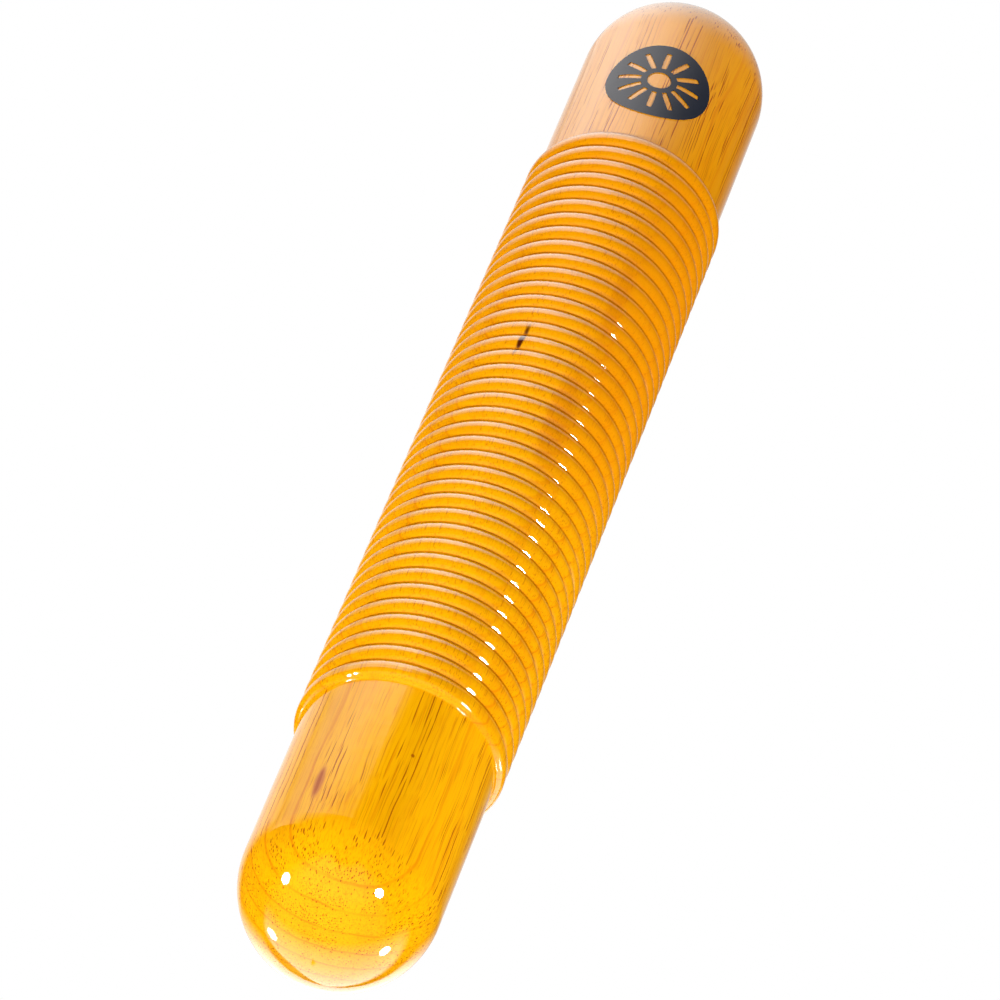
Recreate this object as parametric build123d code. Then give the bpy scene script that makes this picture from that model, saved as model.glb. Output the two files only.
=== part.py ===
from build123d import *
from math import cos, radians, sin, tan
import os

# Turned wooden guiro: a hollow ribbed barrel with a domed wooden cap glued into each end.
# The origin is at the middle of the instrument. +X runs along its axis towards the badge end,
# and +Z goes straight up through the middle of the badge. The finger holes face -Z.
# Sizes are in millimetres.

# Whole instrument
LENGTH = 432.0
CREST_RADIUS = 32.0            # over the ribs, the widest part
CAP_RADIUS = 29.7              # the plain domed ends

# Ribs: a form tool cuts them in sets, and neighbouring sets overlap a little
RIB_PITCH = 6.76
OVERLAP_PITCH = 6.18           # the narrower rib where two sets meet
GROOVES_IN_SETS = (12, 13, 13)
RIB_CROWN = 1.2                # height of a rib's rounded top above its feet
KERF_DEPTH = 0.8               # the narrow groove between ribs, below their feet
KERF_WIDTH = 0.5
KERF_FLOOR = 0.2

# Ribbed barrel
BARREL_START_X = -130.6
COLLAR_WIDTH = 8.0             # the wide first rib at the grip end
SHOULDER_SLOPE = 60.0          # steepest slope of the collar's S-shaped shoulder, in degrees
SHOULDER_HOLLOW = 1.0          # radius where the shoulder leaves the cap
SHOULDER_ROUND = 2.6           # radius where it meets the collar's top
BORE_RADIUS = 24.5
FINGER_HOLE_X = (-34.0, 34.0)
FINGER_HOLE_RADIUS = 11.0
HOLE_MOUTH_RADIUS = 14.0       # the mouth is eased for the fingers
HOLE_MOUTH_DEPTH = 3.5

# End caps
SPIGOT_LENGTH = 20.0
SPIGOT_CHAMFER = 1.0           # starts the spigot into the bore
SPIGOT_WALL = 4.0

# Badge: a thin round foil laid on the badge-end cap
BADGE_X = 156.3
BADGE_RADIUS = 17.4
BADGE_THICKNESS = 0.25

# Worked out from the sizes above
FOOT_RADIUS = CREST_RADIUS - RIB_CROWN
KERF_RADIUS = FOOT_RADIUS - KERF_DEPTH
CAVITY_RADIUS = BORE_RADIUS - SPIGOT_WALL


def groove_positions():
    """Middle of every groove along the axis; the last one is the barrel's badge end."""
    positions = []
    x = BARREL_START_X + COLLAR_WIDTH
    for grooves in GROOVES_IN_SETS:
        for number in range(grooves):
            positions.append(x)
            x += OVERLAP_PITCH if number == grooves - 1 else RIB_PITCH
    return positions


def turned(edges):
    """Turn a closed outline of (distance along the axis, radius) into a solid about X."""
    return revolve(Plane.XZ * make_face(edges), Axis.X)


def shoulder_outline():
    """The collar's S-shaped shoulder: hollow, straight slope, then round, up to the crest."""
    slope = radians(SHOULDER_SLOPE)
    run, rise = sin(slope), 1 - cos(slope)
    slope_height = CREST_RADIUS - CAP_RADIUS - (SHOULDER_HOLLOW + SHOULDER_ROUND) * rise
    start = (BARREL_START_X, CAP_RADIUS)
    low = (start[0] + SHOULDER_HOLLOW * run, CAP_RADIUS + SHOULDER_HOLLOW * rise)
    high = (low[0] + slope_height / tan(slope), low[1] + slope_height)
    crest = (high[0] + SHOULDER_ROUND * run, CREST_RADIUS)
    return [
        TangentArc(start, low, tangent=(1, 0)),
        Line(low, high),
        TangentArc(crest, high, tangent=(-1, 0)),
        Line(crest, (BARREL_START_X + COLLAR_WIDTH - RIB_PITCH / 2, CREST_RADIUS)),
    ]


def collar_fall(groove_x):
    """Half a rib's rounded top, from the collar's crest down to the first groove."""
    crest = (groove_x - RIB_PITCH / 2, CREST_RADIUS)
    return TangentArc(crest, (groove_x - KERF_WIDTH / 2, FOOT_RADIUS), tangent=(1, 0))


def rib_outline(groove_x, next_groove_x):
    """One groove and the rounded rib after it."""
    rib_start = (groove_x + KERF_WIDTH / 2, FOOT_RADIUS)
    rib_top = ((groove_x + next_groove_x) / 2, CREST_RADIUS)
    rib_end = (next_groove_x - KERF_WIDTH / 2, FOOT_RADIUS)
    kerf = Polyline(
        (groove_x - KERF_WIDTH / 2, FOOT_RADIUS),
        (groove_x - KERF_FLOOR / 2, KERF_RADIUS),
        (groove_x + KERF_FLOOR / 2, KERF_RADIUS),
        rib_start,
    )
    return [*kerf.edges(), ThreePointArc(rib_start, rib_top, rib_end)]


def finger_hole(x):
    """Cutter for one finger hole: a round hole through the -Z wall with an eased mouth."""
    hole = Cylinder(FINGER_HOLE_RADIUS, CREST_RADIUS, align=(Align.CENTER, Align.CENTER, Align.MAX))
    mouth = Cone(
        HOLE_MOUTH_RADIUS, FINGER_HOLE_RADIUS, HOLE_MOUTH_DEPTH,
        align=(Align.CENTER, Align.CENTER, Align.MIN),
    )
    return Pos(x, 0, 0) * hole + Pos(x, 0, -CREST_RADIUS) * mouth


def ribbed_barrel(grooves):
    """The hollow body: collar, rounded ribs all round, a straight bore and two finger holes."""
    barrel_end_x = grooves[-1]
    outline = [*shoulder_outline(), collar_fall(grooves[0])]
    for groove_x, next_groove_x in zip(grooves, grooves[1:]):
        outline += rib_outline(groove_x, next_groove_x)
    outline += Polyline(
        (barrel_end_x - KERF_WIDTH / 2, FOOT_RADIUS),
        (barrel_end_x, FOOT_RADIUS),
        (barrel_end_x, BORE_RADIUS),
        (BARREL_START_X, BORE_RADIUS),
        (BARREL_START_X, CAP_RADIUS),
    ).edges()
    return turned(outline) - [finger_hole(x) for x in FINGER_HOLE_X]


def end_cap(shoulder_x, outward):
    """A domed, hollowed cap whose spigot fits the barrel's bore; outward is -1 or 1 along X."""
    tip_x = outward * LENGTH / 2
    dome_x = tip_x - outward * CAP_RADIUS
    mouth_x = shoulder_x - outward * SPIGOT_LENGTH
    cavity_tip_x = dome_x + outward * CAVITY_RADIUS
    outside = Line((shoulder_x, CAP_RADIUS), (dome_x, CAP_RADIUS))
    dome = TangentArc((dome_x, CAP_RADIUS), (tip_x, 0), tangent=(outward, 0))
    axis_stretch = Line((tip_x, 0), (cavity_tip_x, 0))
    cavity_end = TangentArc((dome_x, CAVITY_RADIUS), (cavity_tip_x, 0), tangent=(outward, 0))
    spigot = Polyline(
        (dome_x, CAVITY_RADIUS),
        (mouth_x, CAVITY_RADIUS),
        (mouth_x, BORE_RADIUS - SPIGOT_CHAMFER),
        (mouth_x + outward * SPIGOT_CHAMFER, BORE_RADIUS),
        (shoulder_x, BORE_RADIUS),
        (shoulder_x, CAP_RADIUS),
    )
    return turned([outside, dome, axis_stretch, cavity_end, *spigot.edges()])


def badge():
    """The foil disc, bent round the cap. Seen from above, bending makes it a little narrower."""
    half_angle = BADGE_RADIUS / CAP_RADIUS
    half_width = CAP_RADIUS * sin(half_angle)
    outer_radius = CAP_RADIUS + BADGE_THICKNESS
    disc = extrude(Pos(BADGE_X, 0) * Ellipse(BADGE_RADIUS, half_width), outer_radius)
    rod = Cylinder(outer_radius, LENGTH, rotation=(0, 90, 0))
    core = Cylinder(CAP_RADIUS, LENGTH, rotation=(0, 90, 0))
    return disc & rod - core


def main():
    grooves = groove_positions()
    parts = {
        "ribbed_barrel": ribbed_barrel(grooves),
        "grip_end_cap": end_cap(BARREL_START_X, -1),
        "badge_end_cap": end_cap(grooves[-1], 1),
        "badge": badge(),
    }
    os.makedirs("parts", exist_ok=True)
    for name, part in parts.items():
        export_step(part, f"parts/{name}.step")


main()
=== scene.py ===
from math import cos, pi, radians, sin, tan

import bmesh
import bpy
from mathutils import Matrix, Vector


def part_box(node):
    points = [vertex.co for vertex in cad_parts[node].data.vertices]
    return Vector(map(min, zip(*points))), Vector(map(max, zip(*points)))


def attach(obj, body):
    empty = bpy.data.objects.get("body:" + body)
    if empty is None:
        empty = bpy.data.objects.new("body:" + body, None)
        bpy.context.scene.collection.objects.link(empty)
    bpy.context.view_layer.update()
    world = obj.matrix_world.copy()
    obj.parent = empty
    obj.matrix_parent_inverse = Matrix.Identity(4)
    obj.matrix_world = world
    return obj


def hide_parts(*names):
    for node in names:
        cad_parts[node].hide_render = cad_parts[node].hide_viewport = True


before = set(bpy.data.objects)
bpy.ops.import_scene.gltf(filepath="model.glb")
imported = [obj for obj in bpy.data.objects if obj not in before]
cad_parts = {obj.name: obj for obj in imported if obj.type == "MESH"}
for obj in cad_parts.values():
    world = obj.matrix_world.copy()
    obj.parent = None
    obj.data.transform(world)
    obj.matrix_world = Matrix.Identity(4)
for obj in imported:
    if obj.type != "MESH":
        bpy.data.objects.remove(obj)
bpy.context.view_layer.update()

# Camera: its azimuth is counted from -Y towards +X
CAMERA_AZIMUTH = radians(-80.76)
CAMERA_ELEVATION = radians(43.73)
CAMERA_ROLL = radians(9.25)
CAMERA_DISTANCE = 2.077
CAMERA_AIM_RIGHT = -0.0050
CAMERA_AIM_UP = -0.0102
LENS_MM = 246.7
SENSOR_MM = 36.0

# Sizes of the guiro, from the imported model
_, cap_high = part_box("badge_end_cap")
barrel_low, barrel_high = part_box("ribbed_barrel")
badge_low, badge_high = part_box("badge")
CAP_RADIUS = cap_high.y
CREST_RADIUS = barrel_high.z
BADGE_X = (badge_low.x + badge_high.x) / 2
BADGE_RADIUS = (badge_high.x - badge_low.x) / 2
BADGE_THICKNESS = badge_high.z - CAP_RADIUS

# Direct lights: two round softboxes in front of the guiro, one each side, by azimuth and
# elevation in degrees
SOFTBOX_DISTANCE = 1.6
SOFTBOX_HALF_ANGLE = radians(4.9)
SOFTBOX_RADIANCE = 134.0
SOFTBOXES = {
    "softbox_left": (122.8, 18.7),
    "softbox_right": (-122.7, 32.7),
}
# Broad lights that only bring out the body colour: place, size and radiance
BODY_LIGHTS = {
    "overhead": ((-0.4, 0.0, 1.7), 1.6, 0.14),
    "front": ((-1.3, -0.1, 0.30), 1.0, 1.45),
    "right": ((0.6, -1.4, 0.1), 1.0, 0.95),
    "left": ((0.1, 1.4, 0.3), 1.0, 0.6),
    "back": ((1.3, 0.1, 0.5), 1.0, 1.0),
    "bounce": ((-0.2, 0.0, -0.5), 2.4, 0.70),
}


def direction(azimuth_deg, elevation_deg):
    """Unit vector: azimuth from +X towards +Y, elevation above the XY plane."""
    azimuth, elevation = radians(azimuth_deg), radians(elevation_deg)
    return Vector((cos(azimuth) * cos(elevation), sin(azimuth) * cos(elevation), sin(elevation)))


def link(obj):
    bpy.context.scene.collection.objects.link(obj)
    return obj


def mesh_object(name, mesh, material):
    """Turn a finished bmesh into a linked object of one material."""
    data = bpy.data.meshes.new(name)
    mesh.to_mesh(data)
    mesh.free()
    data.materials.append(material)
    return link(bpy.data.objects.new(name, data))


def hide_from(obj, *rays):
    """Hide an object from the named kinds of ray, such as camera, diffuse, glossy or shadow."""
    for ray in rays:
        setattr(obj, f"visible_{ray}", False)


def make_camera():
    back = Vector((
        sin(CAMERA_AZIMUTH) * cos(CAMERA_ELEVATION),
        -cos(CAMERA_AZIMUTH) * cos(CAMERA_ELEVATION),
        sin(CAMERA_ELEVATION),
    ))
    turn = back.to_track_quat("Z", "Y").to_matrix() @ Matrix.Rotation(CAMERA_ROLL, 3, "Z")
    right, up = turn.col[0], turn.col[1]
    aim = right * CAMERA_AIM_RIGHT + up * CAMERA_AIM_UP
    data = bpy.data.cameras.new("camera")
    data.lens = LENS_MM
    data.sensor_width = SENSOR_MM
    camera = link(bpy.data.objects.new("camera", data))
    camera.matrix_world = Matrix.Translation(aim + back * CAMERA_DISTANCE) @ turn.to_4x4()
    bpy.context.scene.camera = camera


class Shader:
    """Short calls that add nodes to one material or world."""

    def __init__(self, tree, output="ShaderNodeOutputMaterial"):
        self.tree = tree
        self.output = output
        tree.nodes.clear()

    def node(self, kind, inputs=None, **settings):
        node = self.tree.nodes.new(kind)
        for name, value in settings.items():
            setattr(node, name, value)
        for name, value in (inputs or {}).items():
            self.put(node.inputs[name], value)
        return node

    def put(self, socket, value):
        if isinstance(value, bpy.types.NodeSocket):
            self.tree.links.new(value, socket)
        else:
            socket.default_value = value

    def math(self, operation, *values):
        node = self.node("ShaderNodeMath", operation=operation)
        for socket, value in zip(node.inputs, values):
            self.put(socket, value)
        return node.outputs[0]

    def vector(self, operation, *values):
        node = self.node("ShaderNodeVectorMath", operation=operation)
        for socket, value in zip(node.inputs, values):
            self.put(socket, value)
        return node.outputs["Value" if operation in ("LENGTH", "DOT_PRODUCT") else "Vector"]

    def smooth(self, value, low, high, from_value=0.0, to_value=1.0):
        """A fade: from_value before low, to_value after high, smooth between."""
        node = self.node("ShaderNodeMapRange", interpolation_type="SMOOTHSTEP")
        if low > high:
            low, high, from_value, to_value = high, low, to_value, from_value
        for socket, number in zip(node.inputs, (value, low, high, from_value, to_value)):
            self.put(socket, number)
        return node.outputs[0]

    def band(self, value, low, high, soft):
        """1 between low and high, 0 outside, with edges 2 * soft wide."""
        rise = self.smooth(value, low - soft, low + soft)
        fall = self.smooth(value, high + soft, high - soft)
        return self.math("MULTIPLY", rise, fall)

    def mix(self, factor, first, second):
        node = self.node("ShaderNodeMix", data_type="RGBA")
        self.put(node.inputs[0], factor)
        self.put(node.inputs[6], first)
        self.put(node.inputs[7], second)
        return node.outputs[2]

    def noise(self, vector, scale=1.0, detail=2.0, roughness=0.5):
        inputs = {"Vector": vector, "Scale": scale, "Detail": detail, "Roughness": roughness}
        return self.node("ShaderNodeTexNoise", inputs).outputs["Fac"]

    def split(self, vector):
        return self.node("ShaderNodeSeparateXYZ", {"Vector": vector}).outputs

    def join(self, x, y, z=0.0):
        return self.node("ShaderNodeCombineXYZ", {"X": x, "Y": y, "Z": z}).outputs[0]

    def finish(self, surface):
        output = self.node(self.output)
        self.put(output.inputs["Surface"], surface)


def new_material(name):
    """An empty node material, and the Shader that fills it."""
    material = bpy.data.materials.new(name)
    material.use_nodes = True
    return material, Shader(material.node_tree)


MM_PER_M = 1000.0

# Wood colours
RIB_AMBER = (0.89, 0.393, 0.001, 1.0)
CAP_AMBER = (0.94, 0.437, 0.001, 1.0)
DEEP_AMBER = (0.76, 0.237, 0.001, 1.0)
VESSEL_BROWN = (0.33, 0.040, 0.002, 1.0)
BROWN_AMBER = (0.56, 0.13, 0.002, 1.0)
MINERAL_BROWN = (0.070, 0.006, 0.001, 1.0)
KNOT_RED = (0.50, 0.12, 0.040, 1.0)
# painted shade colour for the grooves between the ribs
GROOVE_SHADE_BROWN = (0.46, 0.12, 0.002, 1.0)
DEEPER_ALONG = (-90.0, 120.0, 0.0, 0.5)     # the wood deepens towards the badge end
PATCH_SIZE = (60.0, 14.0, 14.0)
DEEP_PATCHES = (0.48, 0.78, 0.0, 0.35)      # fade of the patch noise

# The grain wanders: the size of each wave, and its full swing sideways
GRAIN_WAVES = (((70.0, 26.0, 26.0), 3.4), ((17.0, 9.0, 9.0), 1.1))
NOISE_MIDDLE = (0.5, 0.5, 0.0)
FIBRE_LENGTH = 24.0
FIBRE_WIDTH = 0.5
DEEP_FIBRES = (0.46, 0.72, 0.0, 0.75)       # fade of the fibre noise

# Growth rings round a pith far below. A phase runs from 0 to 1 outwards through each ring.
PITH_Y, PITH_Z = 16.0, -163.0
RING_SPACING = 5.7
RING_STRENGTH = 0.9
RING_SHADE = (0.45, 0.93, 0.0, 0.20)        # fade of the phase: a ring darkens outwards
RING_END = (1.0, 0.96)                      # and is light again where the next one starts
RING_LINE = (0.88, 0.97)                    # a band: the dark line at a ring's edge
RING_LINE_SOFTNESS = 0.03
TOP_RING = (29.3, 27.0)                     # fade of the height: no dark edge at the very top
PATCHY_RINGS = (0.30, 0.65, 0.35, 1.0)      # fade of the patch noise

# Vessels: spacing, radius and softness. The shifts keep the three kinds from lining up.
FINE_VESSELS = (0.55, 0.05, 0.10)
MIDDLE_VESSELS = (0.85, 0.09, 0.10)
LARGE_VESSELS = (1.9, 0.13, 0.13)
MIDDLE_SHIFT = (7.3, 3.1, 0.0)
LARGE_SHIFT = (2.7, 9.1, 0.0)
FINE_STRENGTH = 0.3
MIDDLE_STRENGTH = 0.9
REGION_SIZE = (40.0, 7.0, 7.0)
SMALL_IN_REGIONS = (0.38, 0.56, 0.12, 1.0)  # fades of the region noise
LARGE_IN_REGIONS = (0.36, 0.50, 0.25, 0.85)
EARLY_WOOD = (0.7, 0.2, 0.35, 1.0)          # fade of the phase: vessels are early in a ring

# Painted shade: the wood is darkened low in the grooves between the ribs
GROOVE_SHADE_RADII = (30.95, 30.75, 0.0, 0.6)     # fade of the radius
COLLAR_SHOULDER = 6.0                       # from the barrel's start: none on the shoulder
COLLAR_FADE = 0.5

# Lacquer
LACQUER_SWELL = 0.28                        # waves per millimetre of the slow unevenness
LACQUER_RIPPLE = 1.3                        # and of the quick one
RIPPLE_SHARE = 0.12
LACQUER_UNEVEN_M = 0.000018

# Blemishes: centre, half sizes, slant of Y along X, strength and colour
BLEMISHES = (
    ((-6.0, -11.0, 30.0), (30.0, 5.5, 8.0), 0.0, 0.42, BROWN_AMBER),
    ((52.0, -14.0, 28.5), (26.0, 3.0, 8.0), 0.0, 0.30, BROWN_AMBER),
    ((50.0, -26.0, 18.0), (105.0, 26.0, 30.0), 0.0, 0.45, DEEP_AMBER),
    ((22.3, 8.3, 31.0), (9.0, 1.2, 3.0), -0.10, 0.98, MINERAL_BROWN),
    ((-173.5, 13.3, 26.5), (9.0, 1.9, 3.5), 0.04, 0.80, KNOT_RED),
    ((-173.5, 13.4, 26.5), (7.0, 0.7, 3.0), 0.04, 0.55, VESSEL_BROWN),
    ((-155.3, -9.0, 28.3), (0.9, 0.7, 3.0), 0.0, 0.8, VESSEL_BROWN),
)
BLEMISH_EDGE = (1.0, 0.45)                  # from a blemish's surface inwards


def spot_mask(shader, position, centre, half_sizes, slant):
    """1 inside an ellipsoid about centre, fading to 0 at its surface; slant shears Y along X."""
    offset = shader.split(shader.vector("SUBTRACT", position, centre))
    sheared = shader.math("MULTIPLY_ADD", offset["X"], -slant, offset["Y"])
    scaled = shader.vector("DIVIDE", shader.join(offset["X"], sheared, offset["Z"]), half_sizes)
    return shader.smooth(shader.vector("LENGTH", scaled), *BLEMISH_EDGE)


def grain_lines(shader, position):
    """Position across the grain, which wanders a little along the length."""
    parts = shader.split(position)
    across = shader.join(parts["Y"], parts["Z"])
    for size, reach in GRAIN_WAVES:
        inputs = {"Vector": shader.vector("DIVIDE", position, size), "Scale": 1.0, "Detail": 1.0}
        noise = shader.node("ShaderNodeTexNoise", inputs).outputs["Color"]
        wander = shader.vector("SUBTRACT", noise, NOISE_MIDDLE)
        wander = shader.vector("MULTIPLY", wander, (reach, reach, 0.0))
        across = shader.vector("ADD", across, wander)
    return across


def fibres(shader, along, across):
    """Noise drawn out along the grain."""
    parts = shader.split(across)
    place = shader.join(
        shader.math("DIVIDE", along, FIBRE_LENGTH),
        shader.math("DIVIDE", parts["X"], FIBRE_WIDTH),
        shader.math("DIVIDE", parts["Y"], FIBRE_WIDTH),
    )
    return shader.noise(place, detail=3.0, roughness=0.65)


def ring_phase(shader, across):
    """0 to 1 through each growth ring, round a pith far below the guiro."""
    parts = shader.split(across)
    side = shader.math("SUBTRACT", parts["X"], PITH_Y)
    rise = shader.math("SUBTRACT", parts["Y"], PITH_Z)
    ring_radius = shader.vector("LENGTH", shader.join(side, rise))
    return shader.math("FRACT", shader.math("DIVIDE", ring_radius, RING_SPACING))


def late_wood(shader, across, phase, patchy):
    """The darker edge of each growth ring, but for the youngest ring at the top."""
    shade = shader.math(
        "MULTIPLY", shader.smooth(phase, *RING_SHADE), shader.smooth(phase, *RING_END)
    )
    line = shader.band(phase, *RING_LINE, RING_LINE_SOFTNESS)
    edge = shader.math("MAXIMUM", shade, line)
    edge = shader.math("MULTIPLY", edge, shader.smooth(shader.split(across)["Y"], *TOP_RING))
    return shader.math("MULTIPLY", edge, shader.smooth(patchy, *PATCHY_RINGS))


def vessels(shader, across, spacing, radius, softness):
    """Thin tubes that follow the grain: streaks on the sides, dots where the wood is cut across."""
    inputs = {"Vector": shader.vector("DIVIDE", across, (spacing, spacing, 1.0)), "Scale": 1.0}
    tubes = shader.node("ShaderNodeTexVoronoi", inputs, voronoi_dimensions="2D")
    return shader.smooth(tubes.outputs["Distance"], (radius + softness) / spacing, radius / spacing)


def all_vessels(shader, position, across, phase):
    """Fine, middle and large vessels. Each kind is denser in some regions, the smaller two also
    early in each ring."""
    region = shader.noise(shader.vector("DIVIDE", position, REGION_SIZE))
    dense = shader.math(
        "MULTIPLY", shader.smooth(region, *SMALL_IN_REGIONS), shader.smooth(phase, *EARLY_WOOD)
    )
    fine = vessels(shader, across, *FINE_VESSELS)
    middle = vessels(shader, shader.vector("ADD", across, MIDDLE_SHIFT), *MIDDLE_VESSELS)
    large = vessels(shader, shader.vector("ADD", across, LARGE_SHIFT), *LARGE_VESSELS)
    fine = shader.math("MULTIPLY", fine, FINE_STRENGTH)
    middle = shader.math("MULTIPLY", middle, MIDDLE_STRENGTH)
    small = shader.math("MULTIPLY", shader.math("MAXIMUM", fine, middle), dense)
    large = shader.math("MULTIPLY", large, shader.smooth(region, *LARGE_IN_REGIONS))
    return shader.math("MAXIMUM", small, large)


def painted_groove_shade(shader, position):
    """How much painted shade darkens the wood, low in the grooves between the ribs."""
    parts = shader.split(position)
    radius = shader.vector("LENGTH", shader.join(parts["Y"], parts["Z"]))
    ribs_start = barrel_low.x * MM_PER_M + COLLAR_SHOULDER
    among_ribs = shader.smooth(parts["X"], ribs_start - COLLAR_FADE, ribs_start)
    return shader.math("MULTIPLY", shader.smooth(radius, *GROOVE_SHADE_RADII), among_ribs)


def lacquer_normal(shader, position):
    """The lacquer is never perfectly flat."""
    swell = shader.noise(position, scale=LACQUER_SWELL, detail=1.0)
    ripple = shader.noise(position, scale=LACQUER_RIPPLE, detail=1.0)
    height = shader.math("ADD", swell, shader.math("MULTIPLY", ripple, RIPPLE_SHARE))
    inputs = {"Strength": 1.0, "Distance": LACQUER_UNEVEN_M, "Height": height}
    return shader.node("ShaderNodeBump", inputs).outputs[0]


def wood(name, amber, vessel_strength, pore_gloss, shade_grooves):
    """Amber lacquered hardwood: growth rings, fibres, dark vessels and its own few blemishes."""
    material, shader = new_material(name)
    local = shader.node("ShaderNodeTexCoord").outputs["Object"]
    position = shader.vector("MULTIPLY", local, (MM_PER_M, MM_PER_M, MM_PER_M))
    along = shader.split(position)["X"]
    across = grain_lines(shader, position)
    patchy = shader.noise(shader.vector("DIVIDE", position, PATCH_SIZE), detail=3.0)
    phase = ring_phase(shader, across)
    depths = (
        shader.smooth(along, *DEEPER_ALONG),
        shader.math("MULTIPLY", late_wood(shader, across, phase, patchy), RING_STRENGTH),
        shader.smooth(fibres(shader, along, across), *DEEP_FIBRES),
        shader.smooth(patchy, *DEEP_PATCHES),
    )
    colour = amber
    for depth in depths:
        colour = shader.mix(depth, colour, DEEP_AMBER)
    vessel = all_vessels(shader, position, across, phase)
    dull = shader.math("MULTIPLY", vessel, vessel_strength)
    colour = shader.mix(dull, colour, VESSEL_BROWN)

    # On the ribs: brown patches, a deeper flank and a mineral streak. On the grip-end cap: a red
    # knot with a brown heart, and a small brown one.
    for centre, half_sizes, slant, strength, paint in BLEMISHES:
        spot = spot_mask(shader, position, centre, half_sizes, slant)
        spot = shader.math("MULTIPLY", spot, strength)
        colour = shader.mix(spot, colour, paint)
        dull = shader.math("MAXIMUM", dull, spot)
    # Painted shade: darken the wood low in the grooves between the ribs
    if shade_grooves:
        colour = shader.mix(painted_groove_shade(shader, position), colour, GROOVE_SHADE_BROWN)

    # The coat is a little thinner over dark pores and blemishes where pore_gloss is below 1
    coat = 1.0
    if pore_gloss < 1.0:
        coat = shader.math("MULTIPLY_ADD", dull, pore_gloss - 1.0, 1.0)
    bsdf = shader.node("ShaderNodeBsdfPrincipled", {
        "Base Color": colour,
        "Roughness": 0.55,
        "Specular IOR Level": 0.0,
        "Coat Weight": coat,
        "Coat Roughness": 0.03,
        "Coat IOR": 1.5,
        "Coat Normal": lacquer_normal(shader, position),
    })
    shader.finish(bsdf.outputs[0])
    return material


# Badge foil
FOIL_DARK = (0.010, 0.014, 0.026, 1.0)
FOIL_LIGHT = (0.016, 0.021, 0.036, 1.0)
FOIL_CLOUDS_PER_M = 260.0
FOIL_UNEVEN_M = 0.00001


def foil():
    """The badge's dark foil: near-black gloss with a faint cloudiness."""
    material, shader = new_material("badge_foil")
    local = shader.node("ShaderNodeTexCoord").outputs["Object"]
    cloud = shader.noise(local, scale=FOIL_CLOUDS_PER_M, detail=4.0)
    bump = shader.node("ShaderNodeBump", {"Distance": FOIL_UNEVEN_M, "Height": cloud})
    bsdf = shader.node("ShaderNodeBsdfPrincipled", {
        "Base Color": shader.mix(cloud, FOIL_DARK, FOIL_LIGHT),
        "Roughness": 0.5,
        "Specular IOR Level": 0.0,
        "Coat Weight": 0.5,
        "Coat Roughness": 0.12,
        "Coat Normal": bump.outputs[0],
    })
    shader.finish(bsdf.outputs[0])
    return material


def dress(node, material):
    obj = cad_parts[node]
    obj.data.materials.clear()
    obj.data.materials.append(material)


# Badge motif: a plain sunburst cut through the foil, as fractions of the badge's radius
SUN_RADIUS = 0.22
RAY_START = 0.34
RAY_END = 0.78
RAYS = 12
RAY_SHARE = 0.50             # share of each ray's sector that is cut out, at its inner end
RAY_TAPER = 0.55             # how much of that is lost at its outer end
RING_STEPS = (SUN_RADIUS, 0.28, RAY_START, 0.44, 0.55, 0.66, RAY_END, 0.85, 0.93, 1.0)
SECTOR_STEPS = 4


def badge_point(ray, step, fraction):
    """A point of the foil: its ray's sector, step round the sector, and fraction of the radius."""
    taper = min(max((fraction - RAY_START) / (RAY_END - RAY_START), 0.0), 1.0)
    half_cut = RAY_SHARE * (1.0 - RAY_TAPER * taper) / 2
    if step <= SECTOR_STEPS:
        share = -half_cut + 2 * half_cut * step / SECTOR_STEPS
    else:
        share = half_cut + (1 - 2 * half_cut) * (step - SECTOR_STEPS) / SECTOR_STEPS
    turn = 2 * pi * (ray + share) / RAYS
    radius = BADGE_RADIUS * fraction
    bend = radius * sin(turn) / CAP_RADIUS
    reach = CAP_RADIUS + BADGE_THICKNESS
    return (BADGE_X + radius * cos(turn), reach * sin(bend), reach * cos(bend))


def make_badge(material):
    """Foil disc bent round the cap, with the sunburst cut out so that the wood shows through."""
    mesh = bmesh.new()
    spokes = [(ray, step) for ray in range(RAYS) for step in range(2 * SECTOR_STEPS)]
    rings = []
    for fraction in RING_STEPS:
        points = [badge_point(ray, step, fraction) for ray, step in spokes]
        rings.append([mesh.verts.new(point) for point in points])
    for number, (inner, outer) in enumerate(zip(rings, rings[1:])):
        in_rays = RING_STEPS[number] >= RAY_START and RING_STEPS[number + 1] <= RAY_END
        for index, (ray, step) in enumerate(spokes):
            if in_rays and step < SECTOR_STEPS:
                continue
            following = (index + 1) % len(spokes)
            mesh.faces.new((inner[index], inner[following], outer[following], outer[index]))
    bmesh.ops.recalc_face_normals(mesh, faces=mesh.faces)
    badge = mesh_object("badge_sunburst", mesh, material)
    badge.data.shade_smooth()
    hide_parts("badge")
    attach(badge, "root")


def place_lamp(light, place):
    """Put an area light at place, facing the guiro and unseen by the camera."""
    lamp = link(bpy.data.objects.new(light.name, light))
    turn = place.to_track_quat("Z", "Y").to_matrix().to_4x4()
    lamp.matrix_world = Matrix.Translation(place) @ turn
    hide_from(lamp, "camera")
    return lamp


def make_softbox(name, azimuth_deg, elevation_deg):
    radius = SOFTBOX_DISTANCE * tan(SOFTBOX_HALF_ANGLE)
    light = bpy.data.lights.new(name, "AREA")
    light.shape = "DISK"
    light.size = 2 * radius
    light.energy = SOFTBOX_RADIANCE * pi * pi * radius**2
    place_lamp(light, direction(azimuth_deg, elevation_deg) * SOFTBOX_DISTANCE)


def make_body_light(name, place, size, radiance):
    """A broad square light for the body colour only, aimed at the guiro; it adds no reflection."""
    light = bpy.data.lights.new(name, "AREA")
    light.size = size
    light.energy = radiance * pi * size**2
    hide_from(place_lamp(light, Vector(place)), "glossy")


# White surround that only the camera sees
FLOOR_HALF_SIZE = 6.0
BACKDROP_RADIUS = 9.0
WHITE_RADIANCE = 1.0


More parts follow.
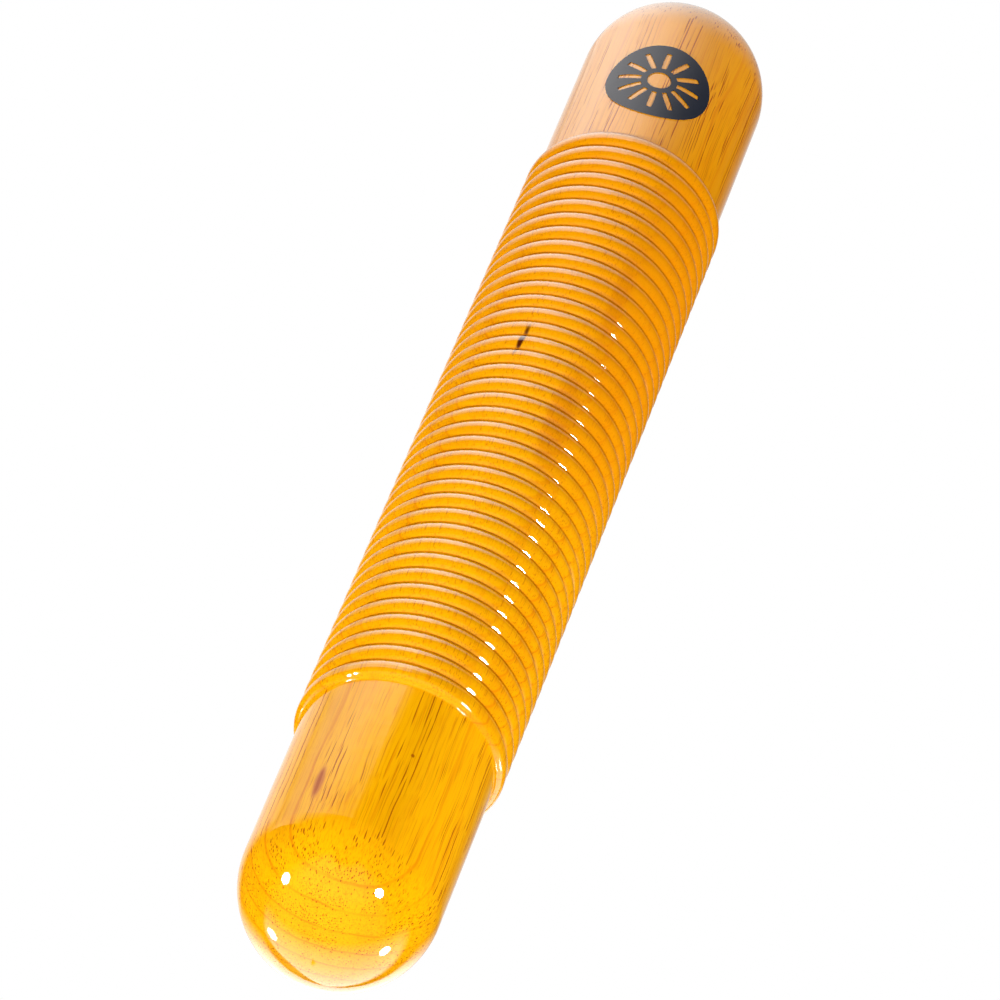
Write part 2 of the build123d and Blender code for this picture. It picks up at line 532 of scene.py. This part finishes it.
def make_floor():
    """A big white table that only a camera above it sees: from below, the guiro shows."""
    mesh = bmesh.new()
    bmesh.ops.create_grid(mesh, x_segments=2, y_segments=2, size=FLOOR_HALF_SIZE)
    material, shader = new_material("floor_white")
    glow = shader.node("ShaderNodeEmission", {"Strength": WHITE_RADIANCE})
    clear = shader.node("ShaderNodeBsdfTransparent")
    side = shader.node("ShaderNodeNewGeometry").outputs["Backfacing"]
    surface = shader.node("ShaderNodeMixShader", {"Fac": side})
    shader.put(surface.inputs[1], glow.outputs[0])
    shader.put(surface.inputs[2], clear.outputs[0])
    shader.finish(surface.outputs[0])
    floor = mesh_object("floor", mesh, material)
    floor.location.z = -CREST_RADIUS
    hide_from(floor, "glossy", "diffuse", "shadow")


def make_backdrop():
    """A white shell far behind everything, seen by the camera alone."""
    mesh = bmesh.new()
    bmesh.ops.create_icosphere(mesh, subdivisions=3, radius=BACKDROP_RADIUS)
    material, shader = new_material("backdrop_white")
    glow = shader.node("ShaderNodeEmission", {"Strength": WHITE_RADIANCE})
    shader.finish(glow.outputs[0])
    backdrop = mesh_object("backdrop", mesh, material)
    hide_from(backdrop, "glossy", "diffuse", "shadow")


# What the lacquer reflects: a white card past the badge end, and the table's glow below
GLOSS_TINT = (1.0, 0.97, 0.94, 1.0)
CARD_X = 0.40
CARD_LOW = (-0.38, -0.12)             # Y and Z of its lower corner
CARD_HIGH = (0.95, 0.74)
CARD_TOP_AT_AXIS = 0.61               # its top edge slopes down a little towards +Y
CARD_TOP_SLOPE = -0.12
CARD_CORNER = 0.51                    # towards -Y the top edge falls away
CARD_CORNER_SLOPE = 1.1
CARD_SOFTNESS = 0.16                  # of the top edge at the axis; it grows towards +Y
CARD_SOFTNESS_SLOPE = 0.16
CARD_ACROSS = (0.70, 0.0, 1.0, 5.2)   # radiance by Y: dim on the +Y side
CARD_FOOT = (-0.12, 0.10, 0.35, 1.0)  # by Z: dimmer at its foot
CARD_DARK_END = (-0.36, 0.20)         # by Y: its -Y end fades out
CARD_EDGE_POWER = 2.0                 # above 1, its edges fade out slowly at the dark end


def make_card():
    """An upright white card that only the lacquer sees, brightest near the guiro's axis."""
    mesh = bmesh.new()
    (low_y, low_z), (high_y, high_z) = CARD_LOW, CARD_HIGH
    corners = ((low_y, low_z), (high_y, low_z), (high_y, high_z), (low_y, high_z))
    mesh.faces.new([mesh.verts.new((CARD_X, y, z)) for y, z in corners])
    material, shader = new_material("card_glow")
    parts = shader.split(shader.node("ShaderNodeTexCoord").outputs["Object"])
    top = shader.math("MULTIPLY_ADD", parts["Y"], CARD_TOP_SLOPE, CARD_TOP_AT_AXIS)
    corner = shader.math("MULTIPLY_ADD", parts["Y"], CARD_CORNER_SLOPE, CARD_CORNER)
    top = shader.math("MINIMUM", top, corner)
    softness = shader.math("MULTIPLY_ADD", parts["Y"], CARD_SOFTNESS_SLOPE, CARD_SOFTNESS)
    below_top = shader.math("DIVIDE", shader.math("SUBTRACT", top, parts["Z"]), softness)
    below_top = shader.smooth(below_top, -1.0, 1.0)
    inside = shader.math("MULTIPLY", shader.smooth(parts["Y"], *CARD_DARK_END), below_top)
    light = shader.smooth(parts["Y"], *CARD_ACROSS)
    light = shader.math("MULTIPLY", light, shader.smooth(parts["Z"], *CARD_FOOT))
    light = shader.math("MULTIPLY", light, shader.math("POWER", inside, CARD_EDGE_POWER))
    glow = shader.node("ShaderNodeEmission", {"Color": GLOSS_TINT, "Strength": light})
    shader.finish(glow.outputs[0])
    card = mesh_object("card", mesh, material)
    hide_from(card, "camera", "diffuse", "shadow", "transmission")


# The world round the guiro, as fades of azimuth or elevation in degrees
DIM_RADIANCE = 0.02
TABLE_FAR = (-8.0, -40.0, 0.0, 3.0)          # elevation: the table brightens as it gets nearer
TABLE_NEAR = (-30.0, -70.0, 0.0, 1.6)
TABLE_LEFT = (-40.0, -72.0, 114.0, 141.0)    # azimuth of its left edge, by elevation
TABLE_LEFT_FADE = (-4.0, 4.0)                # azimuth past that edge
TABLE_RIGHT = (-87.0, -103.0)                # azimuth
BEYOND_RIGHT = (-38.0, 15.0)                 # azimuth: the dimmer table past the guiro
BEYOND_LEFT = (60.0, 40.0)
BEYOND_DOWN = (4.0, -8.0)                    # elevation
CLOSE_DOWN = (-44.0, -68.0, 0.0, 3.2)        # elevation: the table close underneath
CLOSE_ACROSS = (-64.0, 104.0)                # azimuth, as a band
CLOSE_SOFTNESS = 8.0
HAZE_SIDES = (100.0, 135.0, 0.0, 0.25)       # azimuth: over the table, towards the camera
HAZE_RISE = (20.0, 45.0, 1.0, 2.0)           # elevation: doubled higher up
HAZE_TOP = (78.0, 66.0)
TABLE_SPOTS = ((123.6, -37.3), (-116.2, -31.0))   # two round glows, as of lamps in the table
SPOT_RADIANCE = 30.0
SPOT_HALF_ANGLE = 5.2
SPOT_EDGE = 0.5


def make_reflections():
    """The world, which only the lacquer sees: a bright table below, dim above the horizon."""
    world = bpy.data.worlds.new("studio")
    bpy.context.scene.world = world
    world.use_nodes = True
    world.cycles_visibility.camera = False
    world.cycles_visibility.diffuse = False
    shader = Shader(world.node_tree, "ShaderNodeOutputWorld")
    ray = shader.node("ShaderNodeTexCoord").outputs["Generated"]
    parts = shader.split(ray)
    elevation = shader.math("DEGREES", shader.math("ARCSINE", parts["Z"]))
    azimuth = shader.math("DEGREES", shader.math("ARCTAN2", parts["Y"], parts["X"]))

    past_left = shader.math("SUBTRACT", azimuth, shader.smooth(elevation, *TABLE_LEFT))
    in_front = shader.math(
        "MAXIMUM", shader.smooth(past_left, *TABLE_LEFT_FADE), shader.smooth(azimuth, *TABLE_RIGHT)
    )
    table = shader.math(
        "ADD", shader.smooth(elevation, *TABLE_FAR), shader.smooth(elevation, *TABLE_NEAR)
    )
    table = shader.math("MULTIPLY", table, in_front)
    beyond = shader.math(
        "MULTIPLY", shader.smooth(azimuth, *BEYOND_RIGHT), shader.smooth(azimuth, *BEYOND_LEFT)
    )
    beyond = shader.math("MULTIPLY", beyond, shader.smooth(elevation, *BEYOND_DOWN))
    across = shader.band(azimuth, *CLOSE_ACROSS, CLOSE_SOFTNESS)
    close = shader.math("MULTIPLY", shader.smooth(elevation, *CLOSE_DOWN), across)
    haze = shader.smooth(shader.math("ABSOLUTE", azimuth), *HAZE_SIDES)
    haze = shader.math("MULTIPLY", haze, shader.smooth(elevation, *HAZE_RISE))
    haze = shader.math("MULTIPLY", haze, shader.smooth(elevation, *HAZE_TOP))

    light = DIM_RADIANCE
    for part in (table, beyond, close, haze):
        light = shader.math("MAXIMUM", light, part)
    for place in TABLE_SPOTS:
        closeness = shader.vector("DOT_PRODUCT", ray, tuple(direction(*place)))
        outer = cos(radians(SPOT_HALF_ANGLE + SPOT_EDGE))
        inner = cos(radians(SPOT_HALF_ANGLE - SPOT_EDGE))
        spot = shader.smooth(closeness, outer, inner, 0.0, SPOT_RADIANCE)
        light = shader.math("MAXIMUM", light, spot)
    background = shader.node("ShaderNodeBackground", {"Color": GLOSS_TINT, "Strength": light})
    shader.finish(background.outputs[0])


bpy.context.scene.view_settings.view_transform = "Standard"
make_camera()
barrel_wood = wood("ribbed_wood", RIB_AMBER, vessel_strength=0.45, pore_gloss=1.0, shade_grooves=True)
cap_wood = wood("plain_wood", CAP_AMBER, vessel_strength=1.0, pore_gloss=0.7, shade_grooves=False)
dress("ribbed_barrel", barrel_wood)
dress("grip_end_cap", cap_wood)
dress("badge_end_cap", cap_wood)
make_badge(foil())
for softbox_name, softbox_place in SOFTBOXES.items():
    make_softbox(softbox_name, *softbox_place)
for light_name, light_settings in BODY_LIGHTS.items():
    make_body_light(light_name, *light_settings)
make_floor()
make_backdrop()
make_card()
make_reflections()
